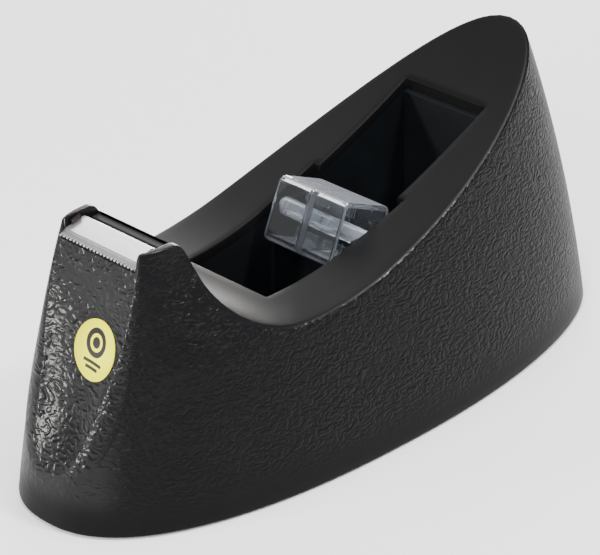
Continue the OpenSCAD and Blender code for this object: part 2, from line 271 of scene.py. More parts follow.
class DispenserSizes(bpy.types.PropertyGroup):
    rim_radius: FloatProperty(
        name="Rim radius", description="Rounding where the deck meets the flanks",
        default=0.9 * MM, min=0.2 * MM, max=1.5 * MM, unit="LENGTH", subtype="DISTANCE")
    face_radius: FloatProperty(
        name="Face edge radius", description="Rounding down both sides of the front face",
        default=2.8 * MM, min=0.4 * MM, max=3.2 * MM, unit="LENGTH", subtype="DISTANCE")
    cheek_radius: FloatProperty(
        name="Cheek radius", description="Rounding on the outside of the cutter's cheeks",
        default=0.38 * MM, min=0.1 * MM, max=0.4 * MM, unit="LENGTH", subtype="DISTANCE")
    dish: FloatProperty(
        name="Dish", description="Depth of the hollow across the front face",
        default=1.1 * MM, min=0.0, max=1.5 * MM, unit="LENGTH", subtype="DISTANCE")
    opening_radius: FloatProperty(
        name="Opening radius", description="Rounding round the well and inside the cheeks",
        default=0.3 * MM, min=0.1 * MM, max=0.3 * MM, unit="LENGTH", subtype="DISTANCE")
    grain_size: FloatProperty(
        name="Grain size", description="Width of one cell of the moulded grain",
        default=2.5 * MM, min=0.6 * MM, max=4 * MM, unit="LENGTH", subtype="DISTANCE")
    grain_depth: FloatProperty(
        name="Grain depth", description="Depth of the moulded grain",
        default=0.24 * MM, min=0.0, max=0.8 * MM, unit="LENGTH", subtype="DISTANCE")
    blade_thickness: FloatProperty(
        name="Cutter thickness", description="Sheet thickness of the cutter",
        default=0.6 * MM, min=0.3 * MM, max=0.7 * MM, unit="LENGTH", subtype="DISTANCE")
    teeth: IntProperty(
        name="Teeth", description="Number of teeth along the cutter", default=22, min=8, max=30)
    tooth_depth: FloatProperty(
        name="Tooth depth", description="Depth of the cutter's teeth",
        default=0.7 * MM, min=0.4 * MM, max=1.4 * MM, unit="LENGTH", subtype="DISTANCE")


class DispenserColours(bpy.types.PropertyGroup):
    shell: FloatVectorProperty(
        name="Body", description="Colour of the moulded body", subtype="COLOR", size=3, min=0, max=1,
        default=(0.0045, 0.0045, 0.005))
    metal: FloatVectorProperty(
        name="Cutter", description="Colour of the cutter's steel", subtype="COLOR", size=3, min=0, max=1,
        default=(0.86, 0.86, 0.87))
    label: FloatVectorProperty(
        name="Label", description="Ground colour of the round label", subtype="COLOR", size=3, min=0, max=1,
        default=(1.0, 0.98, 0.0))
    ink: FloatVectorProperty(
        name="Ink", description="Printing colour of the round label", subtype="COLOR", size=3, min=0, max=1,
        default=(0.03, 0.03, 0.03))
    clear: FloatVectorProperty(
        name="Hub", description="Tint of the clear hub", subtype="COLOR", size=3, min=0, max=1,
        default=(0.93, 0.97, 1.0))


# ---------------------------------------------------------------- materials

class Link:
    """A socket that does arithmetic: an expression on links adds the Math nodes for it."""

    def __init__(self, sheet, socket):
        self.sheet, self.socket = sheet, socket

    def math(self, operation, a, b=0.0, clamp=False):
        return self.sheet.add("ShaderNodeMath", {"operation": operation, "use_clamp": clamp}, {0: a, 1: b})

    def __add__(self, other):
        return self.math("ADD", self, other)

    def __radd__(self, other):
        return self.math("ADD", other, self)

    def __sub__(self, other):
        return self.math("SUBTRACT", self, other)

    def __rsub__(self, other):
        return self.math("SUBTRACT", other, self)

    def __mul__(self, other):
        return self.math("MULTIPLY", self, other)

    def __rmul__(self, other):
        return self.math("MULTIPLY", other, self)

    def __pow__(self, other):
        return self.math("POWER", self, other)

    def clamp(self):
        return self.math("ADD", self, 0.0, clamp=True)

    def fade(self, start, stop):
        """0 before start, 1 after stop, and smooth between them."""
        return self.sheet.add("ShaderNodeMapRange", {"interpolation_type": "SMOOTHSTEP"},
                              {"Value": self, "From Min": start, "From Max": stop})

    def root(self):
        return self.math("SQRT", self)

    def size(self):
        return self.math("ABSOLUTE", self)


class Sheet:
    """A material and the nodes laid out in it."""

    def __init__(self, name):
        self.material = bpy.data.materials.new(name)
        self.material.use_nodes = True
        self.tree = self.material.node_tree
        self.tree.nodes.clear()

    def add(self, kind, settings=None, sockets=None, out=0):
        """Adds a node, sets its settings first and then its sockets, and gives one of its outputs."""
        node = self.tree.nodes.new(kind)
        for name, value in (settings or {}).items():
            setattr(node, name, value)
        for name, value in (sockets or {}).items():
            slot = node.inputs[name]
            if isinstance(value, Link):
                self.tree.links.new(value.socket, slot)
            else:
                slot.default_value = (*value, 1.0) if slot.type == "RGBA" else value
        return None if out is None else Link(self, node.outputs[out])

    def place(self, scale=(1, 1, 1)):
        """Object coordinates, scaled."""
        here = self.add("ShaderNodeTexCoord", out="Object")
        return self.add("ShaderNodeMapping", {"vector_type": "POINT"}, {"Vector": here, "Scale": scale})

    def axes(self):
        """The three object coordinates."""
        here = self.add("ShaderNodeTexCoord", out="Object")
        return [self.add("ShaderNodeSeparateXYZ", None, {0: here}, out=i) for i in range(3)]

    def noise(self, where, scale, detail=3.0, rough=0.5, distortion=0.0):
        return self.add("ShaderNodeTexNoise", None, {"Vector": where, "Scale": scale, "Detail": detail,
                                                     "Roughness": rough, "Distortion": distortion})

    def cells(self, where, scale, feature="DISTANCE_TO_EDGE"):
        return self.add("ShaderNodeTexVoronoi", {"feature": feature}, {"Vector": where, "Scale": scale})

    def attribute(self, name):
        return self.add("ShaderNodeAttribute", {"attribute_name": name}, out="Fac")

    def blend(self, factor, a, b):
        """Blend of two colours. The node's sockets go by number, since its kinds share their names."""
        return self.add("ShaderNodeMix", {"data_type": "RGBA"}, {0: factor, 6: a, 7: b}, out=2)

    def shift(self, where, by, amount):
        """A vector pushed about by a colour, for a wandering pattern."""
        centred = self.add("ShaderNodeVectorMath", {"operation": "SUBTRACT"}, {0: by, 1: (0.5, 0.5, 0.5)})
        scaled = self.add("ShaderNodeVectorMath", {"operation": "SCALE"}, {0: centred, "Scale": amount})
        return self.add("ShaderNodeVectorMath", {"operation": "ADD"}, {0: where, 1: scaled})

    def bump(self, height, distance):
        return self.add("ShaderNodeBump", None, {"Height": height, "Distance": distance})

    def principled(self, **sockets):
        """A Principled shader, its sockets named in lower case."""
        named = {key.replace("_", " ").title().replace("Ior", "IOR"): value for key, value in sockets.items()}
        return self.add("ShaderNodeBsdfPrincipled", None, named, out="BSDF")

    def end(self, shader):
        """Ends the material in a shader."""
        self.add("ShaderNodeOutputMaterial", None, {"Surface": shader}, out=None)
        return self.material

    def finish(self, **sockets):
        """Ends the material in one Principled shader."""
        return self.end(self.principled(**sockets))


def shades(colour, dark=0.7, light=1.3):
    """A darker and a lighter shade of a colour."""
    return tuple(c * dark for c in colour), tuple(c * light for c in colour)


def moulded_black(name, colour, grain_size, grain_depth):
    """Black moulded plastic: leather grain and shine where their attributes say so, satin elsewhere."""
    m = Sheet(name)
    where = m.place(scale=(1.0, 1.0, 1.55))
    wander = m.add("ShaderNodeTexNoise", None, {"Vector": where, "Scale": 0.9 / grain_size, "Detail": 1.0},
                   out="Color")
    bent = m.shift(where, wander, grain_size * 0.8)
    grain = m.attribute("grain")
    gloss = m.attribute("gloss")

    def relief(size, width):
        """Worm-like swellings parted by narrow valleys."""
        waves = m.noise(bent, 1.0 / size, 1.0, 0.3)
        return (waves - 0.5).size().fade(0.0, width) * 0.8 + waves * 0.5

    side = relief(grain_size * 0.7, 0.17) * 0.75 + m.cells(bent, 1.3 / grain_size).fade(0.0, 0.42) * 0.16
    face = relief(grain_size * 0.85, 0.3) * 0.6
    patchy = m.noise(where, 0.16 / grain_size, 2.0)
    height = (side * (1.0 - gloss) + face * gloss) * (0.35 + patchy * 1.1)
    fine = m.noise(where, 4200.0, 2.0, 0.6)
    grained = m.bump(height * grain + fine * 0.02, grain_depth)
    soft = m.noise(where, 90.0, 3.0)
    # tone mixes random mottling with painted shade: the colour is lighter on the grain's swellings and darker
    # in its valleys, following the relief height
    tone = (soft * 0.5 + height * grain * 0.5).clamp()
    base = m.blend(tone, *shades(colour))
    rough = 0.4 + soft * 0.06 - height * grain * 0.06
    satin = m.principled(base_color=base, roughness=rough, normal=grained, ior=1.5, specular_ior_level=0.07)
    shiny = m.principled(base_color=base, roughness=rough - 0.2, normal=grained, ior=1.5,
                         specular_ior_level=0.5)
    return m.end(m.add("ShaderNodeMixShader", None, {0: gloss * 0.28, 1: satin, 2: shiny}))


def plain_black(name, colour, rough):
    """Black moulded plastic with a faint spark-eroded texture."""
    m = Sheet(name)
    where = m.place()
    fine = m.noise(where, 2600.0, 3.0, 0.6)
    soft = m.noise(where, 120.0, 2.0)
    return m.finish(base_color=m.blend(soft, *shades(colour)), roughness=rough + soft * 0.1,
                    normal=m.bump(fine, 0.00003), ior=1.5, specular_ior_level=0.14)


def brushed_steel(name, colour):
    """Bright sheet steel, brushed along its width."""
    m = Sheet(name)
    lines = m.noise(m.place(scale=(1.0, 0.02, 1.0)), 4200.0, 3.0, 0.6)
    broad = m.noise(m.place(), 260.0, 3.0)
    return m.finish(base_color=m.blend(broad, *shades(colour, 0.88, 1.0)), metallic=1.0,
                    roughness=0.24 + lines * 0.16 + broad * 0.06, normal=m.bump(lines, 0.00002))


def dull_metal(name, colour, rough, size):
    """Cast or plated metal with a mottled surface."""
    m = Sheet(name)
    where = m.place()
    mottle = m.noise(where, 1.0 / size, 4.0, 0.6)
    pits = m.cells(where, 2.2 / size, "F1").fade(0.0, 0.5)
    return m.finish(base_color=m.blend(mottle, *shades(colour, 0.6, 1.0)), metallic=0.9,
                    roughness=rough + mottle * 0.2, normal=m.bump(pits + mottle * 0.5, 0.00006))


def pad_foam(name):
    """Dense dark foam with closed cells."""
    m = Sheet(name)
    where = m.place()
    cells = m.cells(where, 1100.0, "F1").fade(0.0, 0.7)
    mottle = m.noise(where, 150.0, 3.0)
    base = m.blend(mottle, (0.02, 0.02, 0.021), (0.05, 0.05, 0.052))
    return m.finish(base_color=base, roughness=0.85 + cells * 0.1, normal=m.bump(cells, 0.00012))


def clear_plastic(name, tint, rough=0.015, haze=0.0):
    """Clear moulded plastic with faint flow marks, a pale opaque layer mixed in evenly by haze, and painted
    highlights on its edges where the surface turns away from view.
    """
    m = Sheet(name)
    flow = m.noise(m.place(scale=(1, 0.3, 1)), 240.0, 2.0, distortion=0.6)
    dent = m.bump(flow, 0.00005)
    clear = m.principled(base_color=m.blend(flow, *shades(tint, 0.96, 1.0)), roughness=rough + flow * 0.03,
                         transmission_weight=1.0, ior=1.58, normal=dent)
    haze_and_edge_sheen = m.principled(base_color=(0.86, 0.89, 1.0), roughness=0.15, ior=1.58, normal=dent)
    # painted edge highlight: the pale opaque layer is mixed in more where the surface turns away from the
    # camera, standing in for the bright reflections along the plastic's edges
    edge = m.add("ShaderNodeLayerWeight", None, {"Blend": 0.5}, out="Facing")
    return m.end(m.add("ShaderNodeMixShader", None, {0: haze + edge ** 3.0 * 0.42, 1: clear, 2: haze_and_edge_sheen}))


def printed_label(name, ground, ink, centre, tilt):
    """Pale label with a plain round mark and two bars under it."""
    m = Sheet(name)
    _, y, z = m.axes()
    across = (y - centre.y * MM) * -1000.0
    rise = (z - centre.z * MM) * (1000.0 / cos(tilt))

    def disc(cy, radius):
        far = (across ** 2.0 + (rise - cy) ** 2.0).root()
        return 1.0 - far.fade(radius - 0.08, radius + 0.08)

    def bar(cy, wide, high):
        beside = across.size().fade(wide - 0.06, wide + 0.06)
        above = (rise - cy).size().fade(high - 0.06, high + 0.06)
        return (1.0 - beside) * (1.0 - above)

    ring = disc(1.3, 3.1) - disc(1.3, 1.9)
    mark = (ring + disc(1.3, 1.2) + bar(-2.9, 2.9, 0.36) + bar(-4.1, 2.0, 0.36)).clamp()
    fibre = m.noise(m.place(), 900.0, 3.0)
    paper = m.blend(fibre, tuple(c * 0.93 for c in ground), ground)
    base = m.blend(mark, paper, ink)
    return m.finish(base_color=base, roughness=0.5 + fibre * 0.1, normal=m.bump(fibre, 0.00001),
                    specular_ior_level=0.12)


# ---------------------------------------------------------------- making meshes

def points(geom):
    """The points among what an operator made."""
    return [v for v in geom if isinstance(v, bmesh.types.BMVert)]


def turn_out(bm, face, way):
    """Makes all faces agree, so that this one looks along the way given."""
    bmesh.ops.recalc_face_normals(bm, faces=bm.faces)
    if face.normal.dot(Vector(way)) < 0:
        bmesh.ops.reverse_faces(bm, faces=bm.faces)


def highest(bm):
    return max(bm.faces, key=lambda f: f.calc_center_median().z)


def to_object(bm, name, material, smooth=True):
    """Turns a mesh in millimetres into an object in metres, at the origin."""
    bmesh.ops.scale(bm, vec=(MM, MM, MM), verts=bm.verts)
    mesh = bpy.data.meshes.new(name)
    bm.to_mesh(mesh)
    bm.free()
    mesh.materials.append(material)
    if smooth:
        mesh.shade_smooth()
    obj = bpy.data.objects.new(name, mesh)
    bpy.context.scene.collection.objects.link(obj)
    return obj


def fit(obj, body, slot, *nodes):
    """Hangs a piece on its body and hides the CAD nodes that it stands for. The slot is not used."""
    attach(obj, body)
    if nodes:
        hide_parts(*nodes)


def repaint(node, material):
    """Gives a CAD node its finish."""
    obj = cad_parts[node]
    obj.data.materials.clear()
    obj.data.materials.append(material)


class Shell:
    """The body's outer skin: a grid over the face, crown and deck, carried from its rim down the flanks."""

    toe_rows, tail_rows = 9, 12
    inner = 10
    outer = (0.12, 0.35, 0.62, 0.85)
    cols = inner + len(outer)

    def __init__(self, sizes):
        self.r_deck = sizes.rim_radius / MM
        self.r_face = sizes.face_radius / MM
        self.r_cheek = sizes.cheek_radius / MM
        self.r_open = sizes.opening_radius / MM
        self.deep = sizes.dish / MM
        p = profile
        self.s_toe = p.seek(lambda s: p.width(s) > 0, 0.0, 12.0)
        self.s_tail = p.seek(lambda s: p.width(s) <= 0, p.at[-1] - 60, p.at[-1])
        self.s_lip = p.seek(lambda s: p.place(s)[0].y > 55.5, 10.0, p.face_end)
        self.s_curl = p.seek(lambda s: p.place(s)[0].x > p.curl_top.x - 0.05, p.face_end, p.face_end + 20)
        self.s_mouth = self.at_x(WELL_X0)
        self.s_step = self.at_x(STEP_X)
        self.s_back = self.at_x(WELL_X1)
        self.s_a = self.s_toe + 11.0
        self.s_b = self.s_tail - 15.0

    def at_x(self, x):
        """Distance along the profile where the deck passes x."""
        return profile.seek(lambda s: profile.place(s)[0].x > x, profile.face_end + 12, profile.at[-1])

    def radius(self, s):
        """Rounding of the rim."""
        top = profile.face_end
        if abs(s - top - 0.4) < 1.4:
            return self.r_cheek * (0.25 + 0.75 * ease(abs(s - top - 0.4) / 1.4))
        if s < top:
            low = 0.6 + 0.4 * ease((s - self.s_toe) / 12)
            high = self.r_face * low
            middle = high + (1.0 - high) * ease((s - self.s_toe - 20) / 16)
            return middle + (self.r_cheek - middle) * ease((s - top + 12) / 9)
        return self.r_cheek + (self.r_deck - self.r_cheek) * ease((s - self.s_curl) / 12)

    def stations(self):
        """Distances along the profile of the straight rows, close together where it turns."""
        marks = [self.s_a, self.s_lip - 0.5, self.s_lip, profile.face_end - 0.6, profile.face_end + 3.0,
                 self.s_curl - 3.4, self.s_curl - 0.32, self.s_curl, self.s_curl + 0.1, self.s_curl + 0.3,
                 self.s_mouth - 0.3, self.s_mouth - 0.1, self.s_mouth, self.s_step, self.s_step + 0.1,
                 self.s_step + 0.3, self.s_back, self.s_back + 0.1, self.s_back + 0.3, self.s_b]
        rows = []
        for a, b in zip(marks, marks[1:]):
            if a >= profile.face_end - 0.7 and b <= profile.face_end + 3.1:
                step = 0.16
            elif a >= self.s_curl - 3.5 and b <= self.s_curl:
                step = 0.22
            else:
                step = 1.6
            count = max(1, ceil((b - a) / step))
            rows += [a + (b - a) * i / count for i in range(count)]
        return rows + [marks[-1]]

    def columns(self, s):
        """Column places on one side at a straight row, from the middle to the last before the rim."""
        x = profile.place(s)[0].x
        along = (x - WELL_X0) / (STEP_X - WELL_X0)
        if x >= STEP_X:
            opening, inside = BAY, BACK
        elif x > WELL_X0:
            opening = MOUTH + (BAY - MOUTH) * along
            inside = min(opening - 0.45, 11.6 + 0.25 * along)
        else:
            way = (s - self.s_curl - 6) / (self.s_mouth - self.s_curl - 6)
            opening = CHEEK_GAP + (MOUTH - CHEEK_GAP) * ease(way)
            inside = opening - 0.5
        gap = min(0.1, (opening - inside) / 4.5)
        return [0.0, inside * 0.3, inside * 0.6, inside * 0.86, inside, inside + gap, inside + 3 * gap,
                opening, opening + 0.1, opening + 0.3]

    def build(self):
        rows = self.stations()
        total = self.toe_rows + len(rows) + self.tail_rows
        bm = bmesh.new()
        bmesh.ops.create_grid(bm, x_segments=total - 1, y_segments=2 * self.cols, size=1.0)
        number = bm.verts.layers.int.new("number")
        spot = {}
        for v in bm.verts:
            i = round((v.co.x + 1) / 2 * (total - 1))
            j = round((v.co.y + 1) / 2 * 2 * self.cols) - self.cols
            spot[i, j] = v
        side = []
        for i, s in enumerate(rows, self.toe_rows):
            rim = Rim(s, self.radius(s))
            self.lay_row(spot, i, s, rim)
            side.append((i, self.cols, rim))
        toe = self.end_patch(spot, self.toe_rows, -1, rows[0], self.s_toe, self.toe_rows)
        tail = self.end_patch(spot, side[-1][0], 1, rows[-1], self.s_tail, self.tail_rows)
        ring = toe + side + tail
        for index, (i, j, _) in enumerate(ring, 1):
            spot[i, j][number] = index
            if j:
                spot[i, -j][number] = -index
        self.cut_openings(bm, spot, rows)
        self.skirt(bm, self.rings([rim for _, _, rim in ring]))
        return bm

    def lay_row(self, spot, i, s, rim):
        """Lays one straight row of the grid from the middle out to the rim."""
        centre, normal = profile.place(s)
        edge = rim.round(0.0)
        steps = self.columns(s)
        room = edge.y - 0.1 - 1.7 * (1 - ease((s - self.s_lip + 13) / 10))
        if steps[-1] > room:
            steps = [y * room / steps[-1] for y in steps]
        last = steps[-1]
        slide = rim.inward * rim.radius
        spread = [last + (edge.y - last) * q for q in self.outer]
        line = [(y, 0.0) for y in steps] + [(y, (y - last) / max(0.001, edge.y - last)) for y in spread]
        for j, (y, weight) in enumerate(line):
            sink = self.sink(s, centre.x, y) + self.hollow(s, y, edge.y)
            self.set(spot, i, j, Vector((centre.x - normal.x * sink + slide.x * weight, y,
                                         centre.y - normal.y * sink + slide.z * weight)))
        self.set(spot, i, self.cols, edge)

    @staticmethod
    def set(spot, i, j, at):
        """Places a point of the grid and its mirror image."""
        spot[i, j].co = at
        if j:
            spot[i, -j].co = (at.x, -at.y, at.z)

    def hollow(self, s, y, edge=None):
        """Depth of the dished front face."""
        if s > profile.face_end:
            return 0.0
        edge = edge or max(0.3, profile.width(s) - 0.97 * self.radius(s))
        t = min(1.0, abs(y) / edge)
        span = ease((s - self.s_toe) / 16) * (1 - ease((s - profile.face_end + 16) / 11))
        return self.deep * span * (1 - t * t)

    def sink(self, s, x, y):
        """Depth of the rounding round the openings."""
        r = self.r_open
        if self.s_lip - 0.5 <= s <= self.s_curl + r:
            if s <= self.s_curl:
                ramp = ease((s - self.s_lip) / 0.8)
                return drop(y - CHEEK_GAP, r) * ramp if y >= CHEEK_GAP - 0.001 else 0.0
            away = sqrt(max(0.0, y - CHEEK_GAP) ** 2 + (s - self.s_curl) ** 2)
            return drop(away, r)
        if self.s_mouth - r <= s <= self.s_back + r:
            if s <= self.s_step:
                outer = MOUTH + (BAY - MOUTH) * max(0.0, x - WELL_X0) / (STEP_X - WELL_X0)
                away = sqrt(max(0.0, y - outer) ** 2 + max(0.0, self.s_mouth - s) ** 2)
            else:
                near_bay = sqrt(max(0.0, y - BAY) ** 2 + (s - self.s_step) ** 2)
                near_back = sqrt(max(0.0, y - BACK) ** 2 + max(0.0, s - self.s_back) ** 2)
                away = min(near_bay, near_back)
            return drop(away, r)
        return 0.0

    def end_patch(self, spot, start, way, s0, s_tip, count):
        """Lays the rounded end of the top surface, and gives its part of the rim."""
        p = profile
        full = p.width(s0)
        dense = []
        for i in range(401):
            y = full * i / 400
            if way < 0:
                s = p.seek(lambda t: p.width(t) > y, s_tip - 0.01, s0)
            else:
                s = p.seek(lambda t: p.width(t) < y, s0, s_tip)
            dense.append((s, y))
        length = [0.0]
        for (sa, ya), (sb, yb) in zip(dense, dense[1:]):
            length.append(length[-1] + sqrt((sb - sa) ** 2 + (yb - ya) ** 2))

        def rim_at(share):
            """Rim at a share of the way from the tip to the straight rows."""
            goal = share * length[-1]
            lo = 0
            while lo < 399 and length[lo + 1] < goal:
                lo += 1
            t = (goal - length[lo]) / max(1e-9, length[lo + 1] - length[lo])
            s = dense[lo][0] + (dense[lo + 1][0] - dense[lo][0]) * t
            y = dense[lo][1] + (dense[lo + 1][1] - dense[lo][1]) * t
            return Rim(s, self.radius(s), y)

        corner = 0.45
        base = spot[start, self.cols].co.copy()
        middle = spot[start, 0].co.copy()
        tip = rim_at(0.0).round(0.0)
        shares = [spot[start, j].co.y / base.y for j in range(self.cols + 1)]
        end_rims = [rim_at(corner * q) for q in shares]
        side_rims = [rim_at(1 - (1 - corner) * t / count) for t in range(count + 1)]
        far = end_rims[-1].round(0.0)
        for t in range(1, count + 1):
            u = t / count
            left = middle + (tip - middle) * u
            right = side_rims[t].round(0.0)
            for j, q in enumerate(shares):
                low, high = spot[start, j].co, end_rims[j].round(0.0)
                flat = middle * (1 - u) * (1 - q) + base * (1 - u) * q + tip * u * (1 - q) + far * u * q
                at = low * (1 - u) + high * u + left * (1 - q) + right * q - flat
                self.set(spot, start + way * t, j, self.settle(at))
        ring = [(start + way * count, j, end_rims[j]) for j in range(self.cols)]
        ring += [(start + way * t, self.cols, side_rims[t]) for t in range(count, 0, -1)]
        return ring if way < 0 else ring[::-1]

    def settle(self, at):
        """Puts a point back on the profile at its own length."""
        p = profile
        if at.x < NOSE_X:
            s = p.seek(lambda t: p.place(t)[0].y > at.z, 0.0, p.face_end)
        else:
            s = p.seek(lambda t: p.place(t)[0].x > at.x, p.face_end + 12, p.at[-1])
        c, n = p.place(s)
        sink = self.hollow(s, at.y)
        return Vector((c.x - n.x * sink, at.y, c.y - n.y * sink))

    def rings(self, rims):
        """Places of every later ring, round the rim, down the flank and under the foot, for each rim point."""
        run = [0.0]
        for a, b in zip(rims, rims[1:]):
            run.append(run[-1] + (b.corner - a.corner).length)
        base = [flank(pi * (1 - i / 720), SKIRT_Z) for i in range(721)]
        arc = [0.0]
        for a, b in zip(base, base[1:]):
            arc.append(arc[-1] + (b - a).length)
        places = []
        lo, last = 0, pi
        for index, rim in enumerate(rims):
            goal = run[index] / run[-1] * arc[-1]
            while lo < 719 and arc[lo + 1] < goal:
                lo += 1
            turn = pi * (1 - (lo + (goal - arc[lo]) / max(1e-9, arc[lo + 1] - arc[lo])) / 720)
            line = [rim.round(t / RADIUS_ROWS) for t in range(1, RADIUS_ROWS + 1)]
            start = line[-1]
            first = min(turn_at(start), last - 1e-5)
            if index == 0:
                turn = first = pi
            elif index == len(rims) - 1:
                turn = first = 0.0
            last = first
            for k in range(1, FLANK_ROWS + 1):
                t = k / FLANK_ROWS
                line.append(flank(first + (turn - first) * t, start.z + (SKIRT_Z + 0.35 - start.z) * t))
            foot = flank(turn, SKIRT_Z)
            outward = flank_normal(foot)
            outward.z = 0
            outward.normalize()
            for inset, rise in ((0.1, 0.1), (0.35, 0.0), (WALL - 0.3, 0.0), (WALL, 0.3), (WALL, 7.0)):
                line.append(foot - outward * inset + Vector((0, 0, rise)))
            if index in (0, len(rims) - 1):
                for at in line:
                    at.y = 0.0
            places.append(line)
        return places

    def cut_openings(self, bm, spot, rows):
        """Opens the well and the cutter's notch, and gives their edges depth."""
        number = bm.verts.layers.int["number"]
        inside = []
        for i, (s, ahead) in enumerate(zip(rows, rows[1:]), self.toe_rows):
            mid = (s + ahead) / 2
            if self.s_lip < mid < self.s_curl or self.s_mouth < mid < self.s_step:
                span = 7
            elif self.s_step < mid < self.s_back:
                span = 4
            else:
                continue
            for j in range(-span, span):
                corners = {spot[i, j], spot[i, j + 1], spot[i + 1, j], spot[i + 1, j + 1]}
                inside += [f for f in spot[i, j].link_faces if set(f.verts) == corners]
        bmesh.ops.delete(bm, geom=inside, context="FACES")
        hole = [e for e in bm.edges
                if e.is_boundary and all(abs(v.co.y) < BAY + 0.45 and v[number] == 0 for v in e.verts)]
        for v in points(bmesh.ops.extrude_edge_only(bm, edges=hole)["geom"]):
            if v.co.x < -45:
                v.co.z = SLOT_FLOOR
            else:
                v.co.z -= WALL - 0.2

    def skirt(self, bm, places):
        """Carries the numbered rim through its later rings."""
        number = bm.verts.layers.int["number"]
        edges = [e for e in bm.edges if e.is_boundary and all(v[number] != 0 for v in e.verts)]
        for level in range(len(places[0])):
            made = bmesh.ops.extrude_edge_only(bm, edges=edges)["geom"]
            fresh = set(points(made))
            for v in fresh:
                at = places[abs(v[number]) - 1][level]
                v.co = (at.x, at.y if v[number] > 0 else -at.y, at.z)
            edges = [e for e in made if isinstance(e, bmesh.types.BMEdge) and set(e.verts) <= fresh]


def mark_finish(obj):
    """Writes where the moulded grain is, and where the skin shines, as attributes of the points."""
    mesh = obj.data
    grain = mesh.attributes.new("grain", "FLOAT", "POINT")
    gloss = mesh.attributes.new("gloss", "FLOAT", "POINT")
    for v in mesh.vertices:
        p = v.co / MM
        n = v.normal
        off = half_at(p.x, p.z) - abs(p.y)
        ahead = ease((-n.x - 0.62) / 0.2) * ease((p.z - 4) / 6) * (1 - ease((p.z - 57) / 1.5))
        front = ahead if p.x < NOSE_X + 1 else 0.0
        side = max(front, ease((0.8 - n.z) / 0.3)) if off < 2.5 or front > 0 else 0.0
        low = ease((p.z - 1.0) / 13)
        high = 1 - ease((p.z - 54.5) / 4) if p.x < -48 else 1.0
        rim = ease((n.z - 0.25) / 0.2) * (1 - ease((n.z - 0.8) / 0.15)) if off < 1.2 else 0.0
        grain.data[v.index].value = side * low * (0.25 + 0.75 * high)
        cheek = 0.8 * ease((p.z - 55) / 2.5) * ease((n.z - 0.05) / 0.2) if p.x < -48 else 0.0
        gloss.data[v.index].value = max(front, rim, cheek)


# ---------------------------------------------------------------- pieces

class DISPENSER_OT_shell(bpy.types.Operator):
    """Build the moulded body with its grain, openings and the seat of the cutter"""
    bl_idname = "dispenser.shell"
    bl_label = "Body"

    def execute(self, context):
        sizes, colours = context.scene.dispenser_sizes, context.scene.dispenser_colours
        bm = Shell(sizes).build()
        bmesh.ops.remove_doubles(bm, verts=bm.verts, dist=1e-4)
        turn_out(bm, highest(bm), (0, 0, 1))
        grained = moulded_black("grained_body", tuple(colours.shell), sizes.grain_size, sizes.grain_depth)
        obj = to_object(bm, "body_shell", grained)
        mark_finish(obj)
        fit(obj, "base", "shell", "casing")

        seat = bmesh.new()
        half = CHEEK_GAP - 0.02
        outline = SEAT + [(profile.curl_top.x + 0.05, 56.7), (profile.curl_top.x + 0.2, SLOT_FLOOR + 0.4),
                          (-60.0, SLOT_FLOOR + 0.4)]
        flat = seat.faces.new([seat.verts.new((x, -half, z)) for x, z in outline])
        moved = bmesh.ops.extrude_face_region(seat, geom=[flat])["geom"]
        bmesh.ops.translate(seat, vec=(0, 2 * half, 0), verts=points(moved))
        bmesh.ops.recalc_face_normals(seat, faces=seat.faces)
        soft = [e for e in seat.edges if all(v.co.z > 56.6 for v in e.verts)
                and abs(e.verts[0].co.y - e.verts[1].co.y) > 1]
        bmesh.ops.bevel(seat, geom=soft, offset=0.25, segments=3, affect="EDGES", profile=0.5, material=-1)
        black = plain_black("seat_black", (0.02, 0.02, 0.022), 0.34)
        fit(to_object(seat, "cutter_seat", black, smooth=False), "base", "shell")
        return {"FINISHED"}


class DISPENSER_OT_cutter(bpy.types.Operator):
    """Build the toothed steel cutter between the cheeks"""
    bl_idname = "dispenser.cutter"
    bl_label = "Cutter"

    def execute(self, context):
        sizes, colours = context.scene.dispenser_sizes, context.scene.dispenser_colours
        lo, hi = box_mm("cutter_blade")
        half = (hi.y - lo.y) / 2 - 0.05
        thick = sizes.blade_thickness / MM
        teeth, deep = sizes.teeth, sizes.tooth_depth / MM
        rows, cols = len(CUTTER) - 1, 4 * teeth
        bm = bmesh.new()
        bmesh.ops.create_grid(bm, x_segments=rows, y_segments=cols, size=1.0)
        for v in bm.verts:
            i, j = round((v.co.x + 1) / 2 * rows), round((v.co.y + 1) / 2 * cols)
            x, z = CUTTER[i]
            if i == 0:
                bite = 1 - abs((j % 4) - 2) / 2
                x, z = x + deep * 0.8 * bite, z + deep * 0.5 * bite
            v.co = (x, -half + 2 * half * j / cols, z)
        turn_out(bm, highest(bm), (0, 0, 1))
        steel = brushed_steel("cutter_steel", tuple(colours.metal))
        obj = to_object(bm, "cutter", steel, smooth=False)
        plate = obj.modifiers.new("thickness", "SOLIDIFY")
        plate.thickness, plate.offset = thick * MM, -1
        soft = obj.modifiers.new("soft_edges", "BEVEL")
        soft.width, soft.segments, soft.limit_method = 0.06 * MM, 2, "ANGLE"
        fit(obj, "base", "blade", "cutter_blade")

        tabs = bmesh.new()
        for side in (-1, 1):
            made = bmesh.ops.create_cube(tabs, size=1.0)["verts"]
            bmesh.ops.scale(tabs, vec=(2.6, 0.4, 1.0), verts=made)
            bmesh.ops.rotate(tabs, cent=(0, 0, 0), matrix=Matrix.Rotation(radians(-12), 3, "Y"), verts=made)
            bmesh.ops.translate(tabs, vec=(-57.9, side * (half - 0.22), 58.0), verts=made)
        bmesh.ops.bevel(tabs, geom=list(tabs.edges), offset=0.1, segments=2, affect="EDGES", profile=0.5,
                        material=-1)
        dark = dull_metal("tab_steel", (0.016, 0.011, 0.010), 0.35, 0.001)
        fit(to_object(tabs, "cutter_tabs", dark, smooth=False), "base", "blade")
        return {"FINISHED"}


